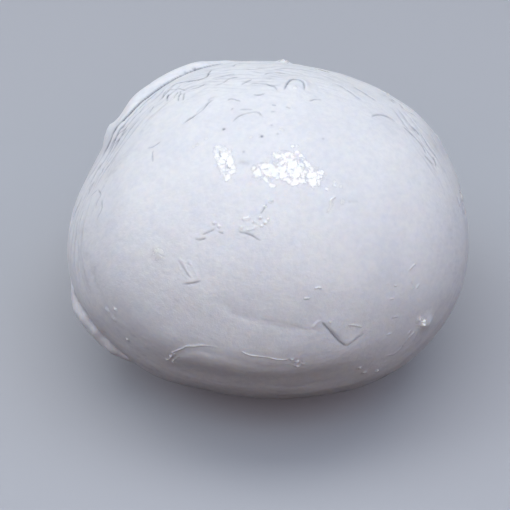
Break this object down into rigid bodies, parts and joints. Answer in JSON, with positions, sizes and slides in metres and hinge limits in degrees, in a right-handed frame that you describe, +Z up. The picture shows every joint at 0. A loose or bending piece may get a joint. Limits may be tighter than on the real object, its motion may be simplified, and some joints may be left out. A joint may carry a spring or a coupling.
{
  "type": "mozzarella ball",
  "caption": "Ball of fresh mozzarella with moist white skin, laps and creases where it was pulled and pinched off, and a pressed-flat underside to rest on.",
  "frame": {"origin": "middle of the underside of the ball's bounding box, on the flat it rests on", "axes": "+Z up through the ball's crown, -Y to the front that shows the sagging lip and the long seam, +X to the right"},
  "size_m": [0.0856, 0.0796, 0.0647],
  "materials": {
    "skin": "moist milk-white skin with a soft sheen and a few wet glints"
  },
  "bodies": {
    "root": {"mozzarella_ball": "skin"}
  },
  "joints": []
}
